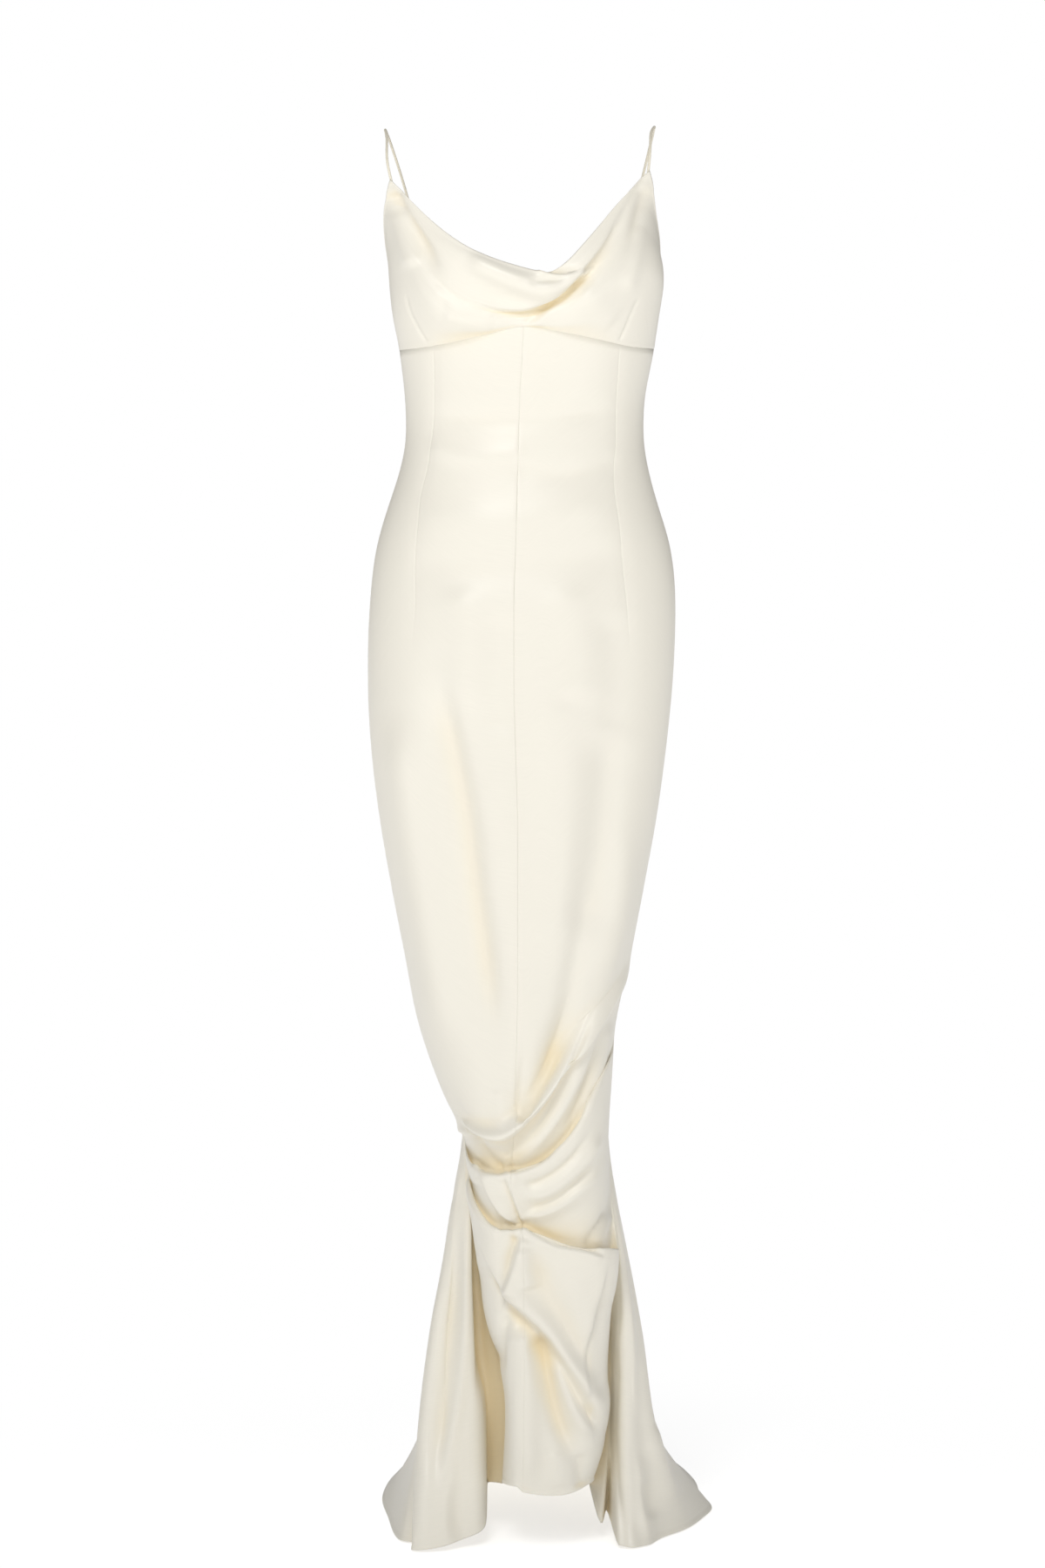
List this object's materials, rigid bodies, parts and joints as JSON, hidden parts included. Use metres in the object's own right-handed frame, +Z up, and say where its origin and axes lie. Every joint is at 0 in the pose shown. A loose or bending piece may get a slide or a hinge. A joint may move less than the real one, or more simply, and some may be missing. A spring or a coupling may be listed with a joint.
{
  "type": "slip dress",
  "caption": "Floor-length bias-cut satin slip dress with a cowl neck, thin straps, a tucked knee, side flares and a small train, in its worn hollow form.",
  "frame": {"origin": "midway between the two strap crests, where the dress rests on the shoulders", "axes": "+Z up, the front of the dress faces -Y, the wearer's right side is at -X"},
  "size_m": [0.3703, 0.6001, 1.4987],
  "materials": {
    "satin": "soft satin sheen, ivory",
    "strap_satin": "rolled satin strap, ivory"
  },
  "bodies": {
    "root": {"bodice_front": "satin", "skirt_front_left": "satin", "skirt_front_right": "satin", "back_left": "satin", "back_right": "satin", "strap_left": "strap_satin", "strap_right": "strap_satin"}
  },
  "joints": []
}
